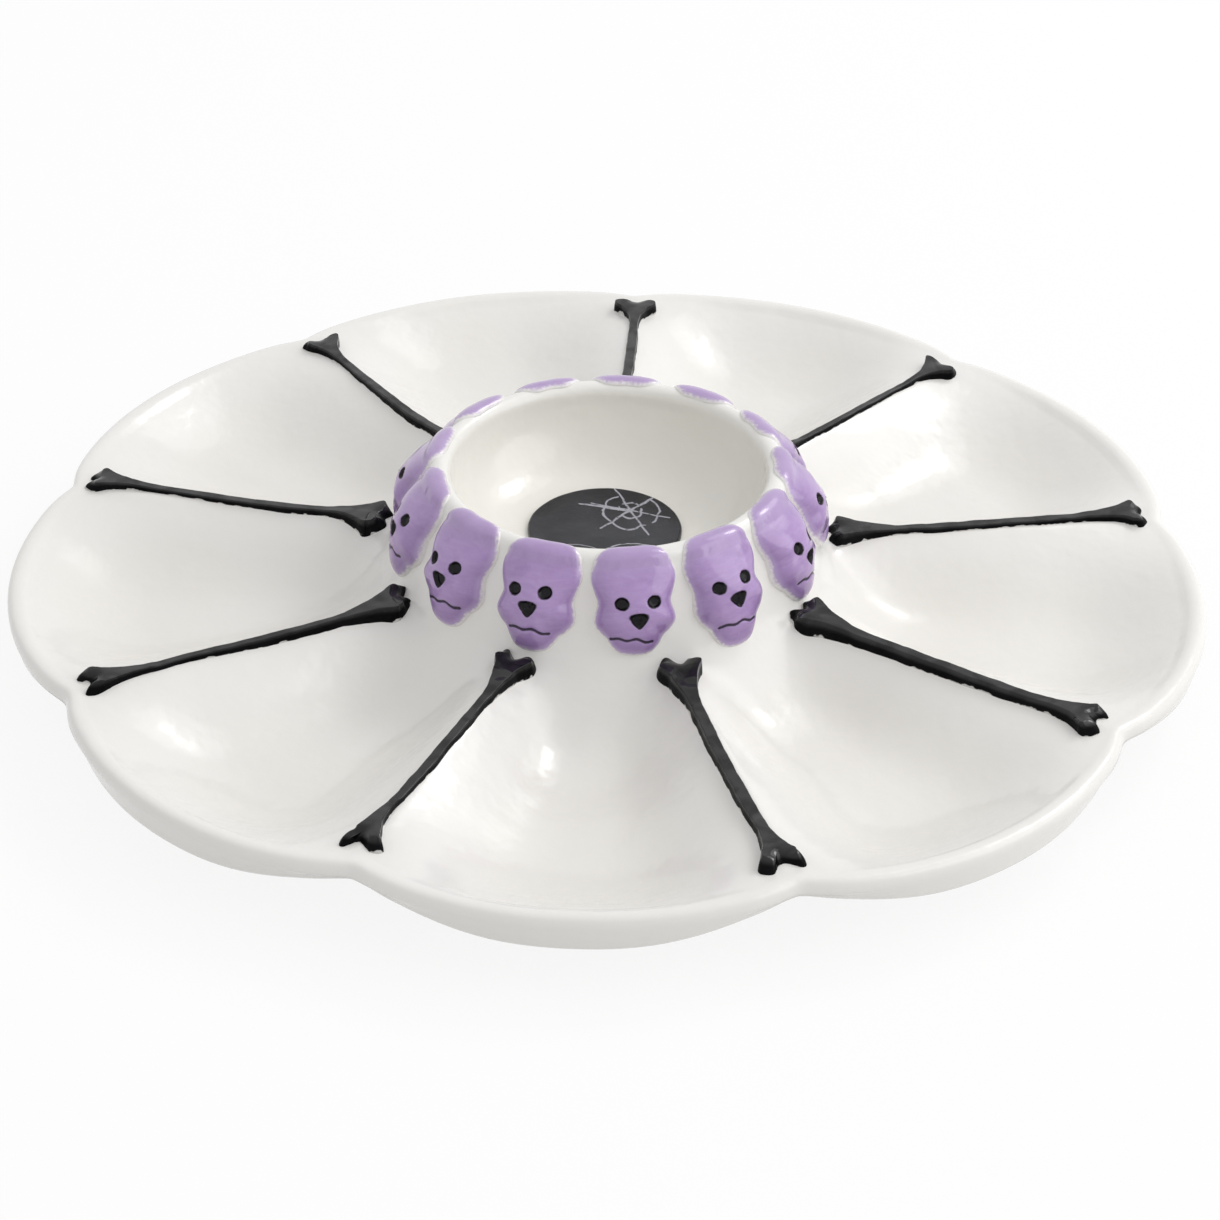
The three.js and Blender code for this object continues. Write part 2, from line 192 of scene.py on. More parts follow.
def scoop_height(radius, edge):
    inner = between(1 - (radius - bowl_base_radius) / inner_cove, 0, 1)
    outer = between(1 - (edge - lip_width - radius) / outer_cove, 0, 1)
    inner_rise = (ridge_inner_height - floor_height) * inner**cove_power
    outer_rise = (rim_height - lip_fall - floor_height) * outer**cove_power
    return floor_height + inner_rise + outer_rise * (1 + lip_easing * (1 - outer))


def tray_height(radius, edge, share):
    return blend(scoop_height(radius, edge), crest_height(radius, edge), share)


def wall_radius(height):
    return shoulder_radius + (shoulder_height - height) * math.tan(wall_lean)


def wobble(turn, radius):
    """The unevenness that sponging and glaze leave, over a few centimetres."""
    place = Vector((radius * math.cos(turn), radius * math.sin(turn), 0.0))
    return noise.noise(place * slow_waves) + fast_share * noise.noise(place * fast_waves)


def ridge_bead(turn, radius, edge):
    """The low bead of slip and glaze that a bone lies in."""
    from_ridge = (turn - first_ridge + scoop_pitch / 2) % scoop_pitch - scoop_pitch / 2
    across = radius * math.sin(from_ridge)
    inner_end = between((radius - bead_start) / bead_inner_run, 0, 1)
    outer_end = between((edge - bead_setback - radius) / bead_outer_run, 0, 1)
    return bead_height * math.exp(-((across / bead_reach) ** 2)) * inner_end * outer_end


def top_height(turn, radius, edge, share):
    wall = shoulder_height - (radius - shoulder_radius) / math.tan(wall_lean)
    tray = tray_height(radius, edge, share) + ridge_bead(turn, radius, edge)
    height = soft_max(wall, tray, wall_fillet)
    roll = lip_width / 2
    from_top = radius - (edge - roll)
    if from_top > -roll:
        lip = rim_height - roll + math.sqrt(max(roll**2 - from_top**2, 0.0))
    else:
        lip = rim_height - roll + lip_inner_slope * (from_top + roll)
    height = soft_max(height, lip, lip_softness)
    calm = between((radius - shoulder_radius) / calm_by_bowl, 0, 1)
    calm *= between((edge - radius) / calm_by_rim, 0, 1)
    return height + hand_wobble * calm * wobble(turn, radius)


def underside_height(radius, edge, share):
    half = wall_thickness / 2
    rise = tray_height(radius + half, edge, share) - tray_height(radius - half, edge, share)
    return tray_height(radius, edge, share) - math.hypot(wall_thickness, rise)


def bowl_curve(share, thickness):
    angle = share * math.pi / 2
    width = mouth_radius - bowl_floor_radius + thickness
    height = shoulder_height - bowl_floor_height + thickness
    return bowl_floor_radius + width * math.sin(angle), shoulder_height - height * math.cos(angle)


# Steps down one section, from the bowl's floor over the rim and back under the tray
floor_steps = 6
bowl_steps = 26
bowl_lip_steps = 12
wall_steps = 26
tray_steps = 78
lip_steps = 8
band_steps = 5
corner_steps = 6
under_steps = 20
hollow_steps = 12
inner_wall_steps = 4
under_bowl_steps = 8
under_floor_steps = 4

# Side of the foot ring, as shares of its draft and of the height above it
foot_profile = ((0.8, 0.45), (0.35, 0.12), (0.0, 0.02), (-0.35, 0.0))


def platter_section(turn):
    """Radius and height down one section, from the middle of the bowl's floor to the middle below."""
    edge = tray_edge(turn)
    share = ridge_share(turn, ridge_sharpness)
    hollow = ridge_share(turn, hollow_sharpness)
    points = [(bowl_floor_radius * i / floor_steps, bowl_floor_height) for i in range(1, floor_steps)]
    points += [bowl_curve(i / bowl_steps, 0.0) for i in range(bowl_steps)]
    for i in range(bowl_lip_steps + 1):
        angle = math.pi * (1 - i / bowl_lip_steps)
        reach = mouth_radius + lip_radius + lip_radius * math.cos(angle)
        points.append((reach, shoulder_height + lip_radius * math.sin(angle)))
    for i in range(1, wall_steps + 1):
        radius = blend(shoulder_radius, tray_start, i / wall_steps)
        points.append((radius, top_height(turn, radius, edge, share)))
    top_edge = edge - lip_width / 2
    for i in range(1, tray_steps + 1):
        along = i / tray_steps
        crowded = along + 0.1 * math.sin(math.pi * along) * math.sin(math.pi * along * 2 + math.pi)
        radius = blend(tray_start, top_edge, crowded)
        points.append((radius, top_height(turn, radius, edge, share)))
    roll_height = rim_height - lip_width / 2
    crown = points[-1][1] - roll_height
    for i in range(1, lip_steps + 1):
        angle = math.pi / 2 * (1 - i / lip_steps)
        reach = top_edge + lip_width / 2 * math.cos(angle) ** lip_corner_power
        points.append((reach, roll_height + crown * math.sin(angle) ** lip_corner_power))
    bottom = rim_height - blend(band_height, band_height_at_ridge, share)
    corner = min(rim_corner / 2, (rim_height - bottom) / 3)
    for i in range(1, band_steps + 1):
        height = blend(roll_height, bottom + corner, i / band_steps)
        points.append((edge - band_draft * i / band_steps, height))
    for i in range(1, corner_steps + 1):
        angle = math.pi / 2 * i / corner_steps
        reach = edge - band_draft - (rim_corner - band_draft) * (1 - math.cos(angle))
        points.append((reach, bottom + corner * (1 - math.sin(angle))))
    outer_top = foot_radius + foot_width / 2 + foot_draft
    inner_top = foot_radius - foot_width / 2 - foot_draft
    for i in range(1, under_steps + 1):
        radius = blend(edge - rim_corner, outer_top, i / under_steps)
        points.append((radius, underside_height(radius, edge, hollow)))
    outer_foot = underside_height(outer_top, edge, hollow)
    inner_foot = underside_height(inner_top, edge, hollow)
    for reach, level in foot_profile:
        points.append((foot_radius + foot_width / 2 + foot_draft * reach, outer_foot * level))
    for reach, level in reversed(foot_profile):
        points.append((foot_radius - foot_width / 2 - foot_draft * reach, inner_foot * level))
    for i in range(hollow_steps + 1):
        radius = blend(inner_top, hollow_end, i / hollow_steps)
        points.append((radius, underside_height(radius, edge, hollow)))
    inset = wall_thickness / math.cos(wall_lean)
    start_height = ridge_inner_height - wall_thickness * math.sin(wall_lean)
    for i in range(1, inner_wall_steps + 1):
        height = blend(start_height, hollow_height, i / inner_wall_steps)
        points.append((wall_radius(height) - inset, height))
    reach = (shoulder_height - hollow_height) / (shoulder_height - bowl_floor_height + wall_thickness)
    top_share = math.acos(between(reach, 0, 1)) / (math.pi / 2)
    for i in range(under_bowl_steps + 1):
        points.append(bowl_curve(top_share * (1 - i / under_bowl_steps), wall_thickness))
    for i in range(1, under_floor_steps):
        radius = bowl_floor_radius * (1 - i / under_floor_steps)
        points.append((radius, bowl_floor_height - wall_thickness))
    return points


def closed_skin(columns, top_pole, bottom_pole):
    """Points and faces of a closed skin over columns that run from one pole to the other."""
    rows = len(columns[0])
    points = [top_pole, bottom_pole]
    for column in columns:
        points += column
    faces = []
    for c in range(len(columns)):
        here = 2 + c * rows
        after = 2 + (c + 1) % len(columns) * rows
        faces.append((0, here, after))
        for r in range(rows - 1):
            faces.append((here + r, here + r + 1, after + r + 1, after + r))
        faces.append((here + rows - 1, 1, after + rows - 1))
    return points, faces


def fired_piece(name, points, faces, glaze, node):
    """One closed piece that stands for its CAD node."""
    mesh = bpy.data.meshes.new(name)
    mesh.from_pydata(points, [], faces)
    mesh.shade_smooth()
    mesh.materials.append(glaze)
    piece = bpy.data.objects.new(name, mesh)
    bpy.context.collection.objects.link(piece)
    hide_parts(node)
    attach(piece, "root")
    return piece


class Tone:
    """One output of a glaze's nodes. Sums on tones add Math nodes."""

    def __init__(self, recipe, socket):
        self.recipe = recipe
        self.socket = socket

    def maths(self, operation, *others):
        inputs = {i: value for i, value in enumerate((self, *others))}
        return self.recipe.add("Math", {"operation": operation}, inputs)

    def __add__(self, other):
        return self.maths("ADD", other)

    def __sub__(self, other):
        return self.maths("SUBTRACT", other)

    def __mul__(self, other):
        return self.maths("MULTIPLY", other)

    def __truediv__(self, other):
        return self.maths("DIVIDE", other)

    def __pow__(self, other):
        return self.maths("POWER", other)

    def __rsub__(self, other):
        return self.recipe.add("Math", {"operation": "SUBTRACT"}, {0: other, 1: self})

    __radd__ = __add__
    __rmul__ = __mul__

    def __abs__(self):
        return self.maths("ABSOLUTE")

    def least(self, other):
        return self.maths("MINIMUM", other)

    def most(self, other):
        return self.maths("MAXIMUM", other)

    def step(self, start, end):
        """0 at start and 1 at end, with a soft run between."""
        inputs = {"Value": self, "From Min": start, "From Max": end}
        return self.recipe.add("MapRange", {"interpolation_type": "SMOOTHSTEP"}, inputs)


class Recipe:
    """A glaze, or the light of the room, and the nodes in it."""

    def __init__(self, owner):
        self.owner = owner
        owner.use_nodes = True
        self.tree = owner.node_tree
        self.tree.nodes.clear()

    def add(self, kind, settings, inputs, output=None):
        """One node. Its settings come first, then the values and links of its sockets."""
        node = self.tree.nodes.new("ShaderNode" + kind)
        for setting, value in settings.items():
            setattr(node, setting, value)
        for socket_name, value in inputs.items():
            if isinstance(socket_name, int):
                socket = node.inputs[socket_name]
            else:
                socket = next(s for s in node.inputs if s.name == socket_name and s.enabled)
            if isinstance(value, Tone):
                self.tree.links.new(value.socket, socket)
            else:
                socket.default_value = value
        outputs = [s for s in node.outputs if s.enabled and output in (None, s.name)]
        return Tone(self, outputs[0]) if outputs else None

    def mix(self, first, second, share):
        first, second = ((*c, 1.0) if isinstance(c, tuple) else c for c in (first, second))
        return self.add("Mix", {"data_type": "RGBA"}, {"Factor": share, "A": first, "B": second})

    def split(self, vector):
        return [self.add("SeparateXYZ", {}, {"Vector": vector}, axis) for axis in "XYZ"]

    def clouds(self, where, scale, detail, distortion=0.0):
        inputs = {"Vector": where, "Scale": scale, "Detail": detail, "Distortion": distortion}
        return self.add("TexNoise", {}, inputs, "Fac")

    def fire(self, **sockets):
        """Ends the glaze in its shader."""
        names = {name: name.replace("_", " ") for name in sockets}
        shader = self.add("BsdfPrincipled", {}, {names[k]: v for k, v in sockets.items()})
        self.add("OutputMaterial", {}, {"Surface": shader})
        return self.owner


def new_glaze(name):
    return Recipe(bpy.data.materials.new(name))


thin_white = (0.865, 0.854, 0.832)
pooling_and_shade_cream = (0.825, 0.80, 0.735)
pale_clay = (0.70, 0.61, 0.49)
dark_clay = (0.56, 0.46, 0.35)


def white_glaze():
    """White, creamy low down and in the bowl from pooling glaze and painted shade; bare clay on the
    foot's flat.
    """
    glaze = new_glaze("white_glaze")
    where = glaze.add("TexCoord", {}, {}, "Object")
    x, y, z = glaze.split(where)
    radius = (x * x + y * y) ** 0.5
    drift = glaze.clouds(where, 16.0, 3.0)
    streak = glaze.clouds(where, 60.0, 4.0, distortion=0.6)
    # Painted shade: creamier and darker low in the scoops, under the plate and all over the bowl's
    # inside, partly glaze that pools there, with random drift on top.
    pooled_glaze_and_shade = (1.0 - z.step(0.010, 0.026)) * 0.45 + drift.step(0.35, 0.75) * 0.3
    in_bowl = (1.0 - radius.step(0.044, 0.049)) * z.step(0.030, 0.0305)
    pooled_glaze_and_shade = (pooled_glaze_and_shade + in_bowl * 0.75).least(1.0)
    colour = glaze.mix(thin_white, pooling_and_shade_cream, pooled_glaze_and_shade * 0.7 + streak * 0.12)
    bare = 1.0 - z.step(0.0002, 0.0005)
    grog = glaze.clouds(where, 1400.0, 2.0)
    clay = glaze.mix(pale_clay, dark_clay, grog)
    colour = glaze.mix(colour, clay, bare)
    ripple = glaze.clouds(where, 70.0, 2.0) + glaze.clouds(where, 260.0, 1.0) * 0.22
    pinholes = glaze.clouds(where, 2400.0, 1.0) * 0.015
    bump = glaze.add("Bump", {}, {"Strength": 0.5, "Distance": 0.0009, "Height": ripple + pinholes})
    return glaze.fire(
        Base_Color=colour,
        Roughness=0.12 + drift * 0.1 + bare * 0.55,
        IOR=1.5,
        Normal=bump,
    )


columns_per_scoop = 44
column_crowding = 1.35
turns = []
for scoop in range(scoop_count):
    for i in range(columns_per_scoop):
        across = 2 * i / columns_per_scoop - 1
        crowded = math.copysign(1 - (1 - abs(across)) ** column_crowding, across)
        turns.append(first_ridge + (scoop + 0.5 + crowded / 2) * scoop_pitch)
sections = [
    [(r * math.cos(turn), r * math.sin(turn), z) for r, z in platter_section(turn)] for turn in turns
]
middle_top = (0.0, 0.0, bowl_floor_height)
middle_under = (0.0, 0.0, bowl_floor_height - wall_thickness)
platter_points, platter_faces = closed_skin(sections, middle_top, middle_under)
fired_piece("glazed_platter", platter_points, platter_faces, white_glaze(), "platter")

# Bones: nine low relief bones in black glaze, one along each ridge. Each is pressed in a mould, stuck
# on with slip and painted by hand, so no two are quite alike and the black wanders over their edges.
bone_rise = 0.0019
bone_head_rise = 0.003
bone_sunk = 0.001
side_bevel = 0.0004
end_bevel = 0.0039
bevel_limit = 0.62
side_roundness = 2.2
end_roundness = 1.4
flare_reach = 0.62
flare_spread = 0.42
slow_wander = 0.17
fast_wander = 0.09
cleft_depth = 0.0013
cleft_reach = 0.0028
brush_relief = 0.00012
head_flat = 0.002
head_run = 0.017
crest_end = 0.160
notch_radius = 0.1682
spine_setback = 0.0042
curve_steps = 16
shaft_steps = 70
head_steps = 60
end_crowding = 0.07
bevel_steps = (0.0, 0.1, 0.26, 0.46, 0.7, 0.9, 1.0, 1.12)
top_steps = (0.3, 0.6, 0.85)
shaft_places = (85, 100, 115, 130, 145)

# Each bone in millimetres out from the plate's middle and left of its ridge: half the width of its
# shaft, the slope of its left and of its right side, its middle line at the five shaft places, then the
# inner and the outer head as left shoulder, left knob, notch, right knob and right shoulder
bone_shapes = [
    (1.7, 0.4, 0.4, (-0.3, -0.4, -0.8, -1.0, -1.0),
     ((69.5, 5.8), (65.8, 4.2), (67.4, 0.2), (65.6, -4.0), (69.0, -5.6)),
     ((156.0, 6.2), (160.2, 3.6), (158.9, -1.4), (160.1, -5.4), (155.6, -7.9))),
    (1.6, 0.4, 0.4, (1.0, 1.5, 0.8, -0.1, -1.0),
     ((69.5, 6.2), (65.6, 4.6), (67.2, 0.8), (65.8, -3.0), (69.4, -4.8)),
     ((158.4, 3.3), (161.3, 3.2), (160.5, -1.8), (160.7, -6.6), (157.6, -8.6))),
    (1.5, 0.4, 0.4, (0.1, 0.3, -0.2, -1.1, -1.9),
     ((72.4, 6.6), (66.8, 3.6), (67.8, 0.2), (66.4, -3.4), (69.4, -6.2)),
     ((159.2, 2.8), (162.3, 1.2), (160.5, -2.4), (162.5, -4.8), (159.6, -8.1))),
    (1.35, 0.4, 0.4, (1.5, 1.4, 0.8, 0.0, 0.1),
     ((69.6, 6.3), (64.2, 2.6), (65.0, -0.8), (63.0, -4.0), (65.4, -6.4)),
     ((159.0, 4.6), (162.1, 3.4), (159.3, -1.0), (161.9, -4.4), (159.2, -6.6))),
    (1.55, 0.4, 0.4, (0.6, 0.1, -0.2, -0.7, -1.7),
     ((67.6, 6.9), (64.0, 4.4), (66.2, 0.6), (63.3, -3.2), (66.6, -5.7)),
     ((158.0, 4.9), (159.8, 2.0), (157.0, -2.9), (160.1, -5.9), (158.2, -7.4))),
    (1.85, 0.4, 0.5, (-1.2, -1.7, -2.1, -2.3, -2.2),
     ((67.6, 6.9), (64.2, 4.6), (66.0, 0.8), (63.1, -2.9), (67.2, -6.4)),
     ((158.4, 4.3), (160.9, 3.0), (158.3, -1.6), (161.5, -5.4), (158.8, -8.4))),
    (2.1, 0.4, 1.3, (-1.4, -1.3, -1.4, -1.5, -1.4),
     ((67.2, 6.8), (63.7, 4.9), (65.1, 1.2), (63.3, -2.6), (68.4, -6.1)),
     ((158.0, 4.9), (160.4, 3.0), (158.7, -0.6), (161.5, -4.6), (158.2, -7.5))),
    (1.7, 0.4, 0.7, (0.1, 0.6, 1.4, 2.1, 2.8),
     ((69.2, 6.3), (65.7, 3.8), (66.7, 0.6), (65.4, -2.9), (68.4, -5.2)),
     ((159.4, 8.7), (162.5, 6.9), (161.2, 3.0), (162.3, -0.6), (159.6, -3.2))),
    (1.2, 0.4, 0.4, (-0.1, -0.1, 0.1, 0.2, 0.0),
     ((69.4, 5.8), (65.6, 4.2), (67.0, 0.2), (65.8, -3.8), (69.2, -5.6)),
     ((157.6, 6.1), (160.1, 3.6), (159.1, -0.6), (160.0, -4.4), (155.6, -6.6))),
]


def smooth(value):
    value = between(value, 0, 1)
    return value * value * (3 - 2 * value)


def smooth_loop(points):
    """A closed curve through the points, by Catmull-Rom."""
    dense = []
    total = len(points)
    for i in range(total):
        before, start, end, after = (Vector(points[(i + k) % total]) for k in (-1, 0, 1, 2))
        for k in range(curve_steps):
            t = k / curve_steps
            linear = (end - before) * t
            square = (2 * before - 5 * start + 4 * end - after) * t * t
            cubic = (3 * start - before - 3 * end + after) * t**3
            dense.append((2 * start + linear + square + cubic) / 2)
    return dense


def even_line(line, count):
    """Places at even steps along an open line, with both ends."""
    lengths = [0.0]
    for start, end in zip(line, line[1:]):
        lengths.append(lengths[-1] + (end - start).length)
    places = []
    at = 0
    for k in range(count + 1):
        target = lengths[-1] * k / count
        while at < len(line) - 2 and lengths[at + 1] < target:
            at += 1
        span = max(lengths[at + 1] - lengths[at], 1e-9)
        places.append(line[at].lerp(line[at + 1], (target - lengths[at]) / span))
    return places


def height_of_line(line, x):
    """Where a line that runs outward stands across its ridge at x."""
    for start, end in zip(line, line[1:]):
        if start.x <= x <= end.x:
            return blend(start.y, end.y, (x - start.x) / max(end.x - start.x, 1e-9))
    return line[0].y if x < line[0].x else line[-1].y


def bone_rim(index, half, middles, inner_head, outer_head):
    """Outline of a bone, as the lines of its left and right side and round its two heads."""
    left = [Vector((x, y + half)) for x, y in zip(shaft_places, middles)]
    right = [Vector((x, y - half)) for x, y in zip(shaft_places, middles)]
    inner = [Vector(p) for p in inner_head]
    outer = [Vector(p) for p in outer_head]
    flares = []
    shoulders = (inner[0], outer[0], outer[4], inner[4])
    for shoulder, shaft in zip(shoulders, (left[0], left[-1], right[-1], right[0])):
        along = blend(shaft.x, shoulder.x, flare_reach)
        flares.append(Vector((along, blend(shaft.y, shoulder.y, flare_spread))))
    ring = [inner[0], flares[0], *left, flares[1], *outer, flares[2], *right[::-1], flares[3]]
    ring += [inner[4], inner[3], inner[2], inner[1]]
    dense = []
    for place in smooth_loop(ring):
        wander = slow_wander * noise.noise(Vector((place.x * 0.16, place.y * 0.5, index * 7.7)))
        wander += fast_wander * noise.noise(Vector((place.x * 0.6, place.y * 1.4, index * 3.1)))
        dense.append((place + Vector((wander * 0.4, wander * 1.6))) * 0.001)
    left_end = (len(left) + 3) * curve_steps
    outer_end = (len(left) + 7) * curve_steps
    right_end = (2 * len(left) + 10) * curve_steps
    left_side = dense[: left_end + 1]
    outer_round = dense[left_end : outer_end + 1]
    right_side = dense[outer_end : right_end + 1]
    inner_round = dense[right_end:] + dense[:1]
    return left_side, outer_round, right_side[::-1], inner_round


def bone_piece(index, half, left_slope, right_slope, middles, inner_head, outer_head):
    """A closed skin from the bone's rim up to the spine on its top, and down to one under it."""
    turn = first_ridge + index * scoop_pitch
    rim_lines = bone_rim(index, half, middles, inner_head, outer_head)
    left_side, outer_round, right_side, inner_round = rim_lines
    inner_end = 0.001 * inner_head[2][0] + spine_setback
    outer_end = 0.001 * outer_head[2][0] - spine_setback
    along = []
    for i in range(shaft_steps + 1):
        share = i / shaft_steps
        crowded = share - end_crowding * math.sin(2 * math.pi * share)
        along.append(blend(inner_end, outer_end, crowded))
    sides = [[Vector((x, height_of_line(line, x))) for x in along] for line in (left_side, right_side)]
    spine = [(a + b) / 2 for a, b in zip(*sides)]
    outer_arc = [sides[0][-1]] + [p for p in left_side if p.x > outer_end] + outer_round
    outer_arc += [p for p in right_side[::-1] if p.x > outer_end] + [sides[1][-1]]
    inner_arc = [sides[1][0]] + [p for p in right_side[::-1] if p.x < inner_end] + inner_round
    inner_arc += [p for p in left_side if p.x < inner_end] + [sides[0][0]]
    rim = [(p, i, left_slope) for i, p in enumerate(sides[0])]
    rim += [(p, len(along) - 1, None) for p in even_line(outer_arc, head_steps)[1:-1]]
    rim += [(p, i, right_slope) for i, p in reversed(list(enumerate(sides[1])))]
    rim += [(p, 0, None) for p in even_line(inner_arc, head_steps)[1:-1]]
    notches = [Vector((0.001 * head[2][0], 0.001 * head[2][1])) for head in (inner_head, outer_head)]

    def stand(place, level):
        radius = place.length
        around = turn + math.atan2(place.y, place.x)
        return radius * math.cos(around), radius * math.sin(around), level

    def ground(place):
        around = turn + math.atan2(place.y, place.x)
        edge = tray_edge(around)
        return top_height(around, place.length, edge, ridge_share(around, ridge_sharpness))

    def summit(place):
        to_end = min(place.x - inner_end, outer_end - place.x)
        near = between(1 - (to_end + head_flat) / head_run, 0, 1)
        rise = blend(bone_rise, bone_head_rise, near**0.7)
        for notch in notches:
            away = (place - notch).length
            rise -= cleft_depth * math.exp(-((away / cleft_reach) ** 2))
        rise += brush_relief * noise.noise(Vector((place.x * 300, place.y * 300, index * 5.0)))
        return crest_height(min(place.x, crest_end), notch_radius) + rise

    rows = []
    for place, at, slope in rim:
        inward = spine[at] - place
        reach = inward.length
        if slope is None:
            heading = abs(inward.x) / reach
            bevel = blend(side_bevel, end_bevel, smooth((heading - 0.25) / 0.6))
            roundness = end_roundness
        else:
            bevel = 0.001 * slope
            roundness = side_roundness
        bevel = min(bevel, reach * bevel_limit)
        base = ground(place)
        row = [(stand(place, base - bone_sunk), 0.0)]
        for step in bevel_steps:
            spot = place + inward * (step * bevel / reach)
            level = (1 - (1 - min(step, 1.0)) ** roundness) ** (1 / roundness)
            row.append((stand(spot, blend(base + 0.0001, summit(spot), level)), level))
        for share in top_steps:
            start = bevel_steps[-1] * bevel / reach
            spot = place + inward * blend(start, 1.0, share)
            row.append((stand(spot, summit(spot)), 1.0))
        rows.append(row)
    depth = len(rows[0])
    points = [point for row in rows for point, _ in row]
    levels = [level for row in rows for _, level in row]
    top_start = len(points)
    points += [stand(p, summit(p)) for p in spine]
    levels += [1.0] * len(spine)
    under_start = len(points)
    points += [stand(p, ground(p) - bone_sunk) for p in spine]
    levels += [0.0] * len(spine)
    faces = []
    for c in range(len(rim)):
        after = (c + 1) % len(rim)
        for r in range(depth - 1):
            faces.append((c * depth + r + 1, after * depth + r + 1, after * depth + r, c * depth + r))
        for row_at, spine_start, flip in ((depth - 1, top_start, True), (0, under_start, False)):
            corner = [c * depth + row_at, after * depth + row_at]
            corner.append(spine_start + rim[after][1])
            if rim[c][1] != rim[after][1]:
                corner.append(spine_start + rim[c][1])
            faces.append(tuple(reversed(corner)) if flip else tuple(corner))
    name = f"bone_{index + 1}"
    piece = fired_piece(f"painted_{name}", points, faces, black_paint, name)
    painted = piece.data.attributes.new("paint_level", "FLOAT", "POINT")
    painted.data.foreach_set("value", levels)


deep_black = (0.0014, 0.0014, 0.0018)
worn_black = (0.005, 0.005, 0.006)
bare_white = (0.66, 0.65, 0.63)


def black_glaze():
    """Black brushed over the bones. paint_level runs from 0 at a bone's foot to 1 on its top."""
    glaze = new_glaze("black_glaze")
    where = glaze.add("TexCoord", {}, {}, "Object")
    level = glaze.add("Attribute", {"attribute_name": "paint_level"}, {}, "Fac")
    drift = glaze.clouds(where, 90.0, 3.0)
    brush = glaze.clouds(where, 420.0, 3.0, distortion=0.8)
    colour = glaze.mix(deep_black, worn_black, drift.step(0.35, 0.7))
    ragged = glaze.clouds(where, 260.0, 3.0)
    missed = (1.0 - (level + (ragged - 0.52) * 1.5).step(-0.10, -0.02)) * 0.9
    colour = glaze.mix(colour, bare_white, missed)
    wet = glaze.clouds(where, 150.0, 2.0, distortion=0.5).step(0.36, 0.56)
    ripple = glaze.clouds(where, 300.0, 2.0) + brush * 0.4
    bump = glaze.add("Bump", {}, {"Strength": 0.35, "Distance": 0.0005, "Height": ripple})
    return glaze.fire(
        Base_Color=colour,
        Roughness=0.4,
        IOR=1.1,
        Coat_Weight=(level.step(0.5, 0.95) * 0.94 + 0.06) * (0.62 + wet * 0.3),
        Coat_Roughness=0.05,
        Coat_IOR=1.46,
        Normal=bump,
    )


black_paint = black_glaze()
for index, shape in enumerate(bone_shapes):
    bone_piece(index, *shape)

# Skulls: thirteen small pressed skulls round the bowl, stuck on with slip, from the foot of its wall
# up over its lip. They are brushed with lilac, which lies thinner at the edges, and their eyes, noses
# and mouths are pressed in and painted black. The lilac is lighter over the crowns as painted light,
# and darker towards the lower edges, partly from glaze that pools there and partly as painted shade.
skull_count = 13
first_skull = math.radians(280.5)
skull_width = 0.024
skull_height = 0.0296
skull_rise = 0.0072
skull_sunk = 0.0022
crown_reach = 0.0038
crown_wrap = 1.45
eye_radius = 0.0019
eye_spacing = 0.0082
eye_height = 0.0019
nose_height = -0.0027
mouth_height = -0.0087
mouth_half = 0.0062
mouth_depth = 0.0005
pit_depth = 0.0011
skull_middle = Vector((0.0, -0.0012))
spokes = 120
rings = 40
ring_crowding = 1.35

# Soft forms of the face: how far they lie across and up it, their half width and half height, and how
# far they stand out or sink in
brow = (0.0, 0.0065, 0.007, 0.005, 0.00035)
cheek = (0.0080, -0.0040, 0.0026, 0.0026, 0.0006)
eye_hollow = (eye_spacing / 2, eye_height, 0.0032, 0.0030, -0.0003)
temple = (0.0095, 0.0010, 0.0024, 0.0030, -0.0005)
chin = (0.0, -0.0128, 0.004, 0.0022, 0.0004)

# Outline of the right half of a skull from crown to chin, as shares of half its width and height
skull_outline = [
    (0.0, 0.985), (0.42, 0.98), (0.74, 0.90), (0.93, 0.72), (0.985, 0.5), (0.93, 0.25), (0.87, 0.04),
    (0.94, -0.2), (0.95, -0.36), (0.83, -0.52), (0.66, -0.64), (0.54, -0.8), (0.34, -0.95), (0.0, -1.0),
]

# What sets some skulls apart: tilt of the eyes and of the mouth in degrees, shift of the face and of
# the mouth across and up in millimetres, how much lower the chin hangs and how far it leans
skull_traits = {
    1: (0.5, -8.0, 0.3, -0.6, -1.6, -0.5, -0.8, -0.7),
    2: (5.0, -4.0, -0.5, -0.1, -0.7, -1.2, 2.2, -0.3),
    3: (0.0, -10.0, 1.6, -1.2, 0.4, -0.8, 1.0, 0.4),
    11: (6.0, 6.0, -0.6, 0.0, 0.4, 0.0, 1.2, 0.4),
    12: (4.0, 4.0, -0.5, -0.4, 1.6, -0.6, 1.4, 1.8),
    13: (3.5, -2.5, -0.6, 0.8, 0.0, 0.4, 0.0, 0.2),
}


def hump(u, v, side, form):
    across, up, width, height, rise = form
    return rise * math.exp(-(((u - side * across) / width) ** 2) - ((v - up) / height) ** 2)


def nose_depth(x, y):
    """1 in the middle of the nose and 0 at its edge: a soft heart with its tip down."""
    half = 0.0009 + 0.5 * max(0.0, y + 0.0025)
    return 1 - (x / half) ** 2 - abs((y + 0.0004) / 0.0022) ** 2.6


def mouth_line(x):
    """How far the mouth wavers up and down."""
    along = x / (2 * mouth_half) * math.pi
    return 0.00028 * math.sin(along * 5.2) + 0.00022 * math.sin(along * 2.3 + 1)


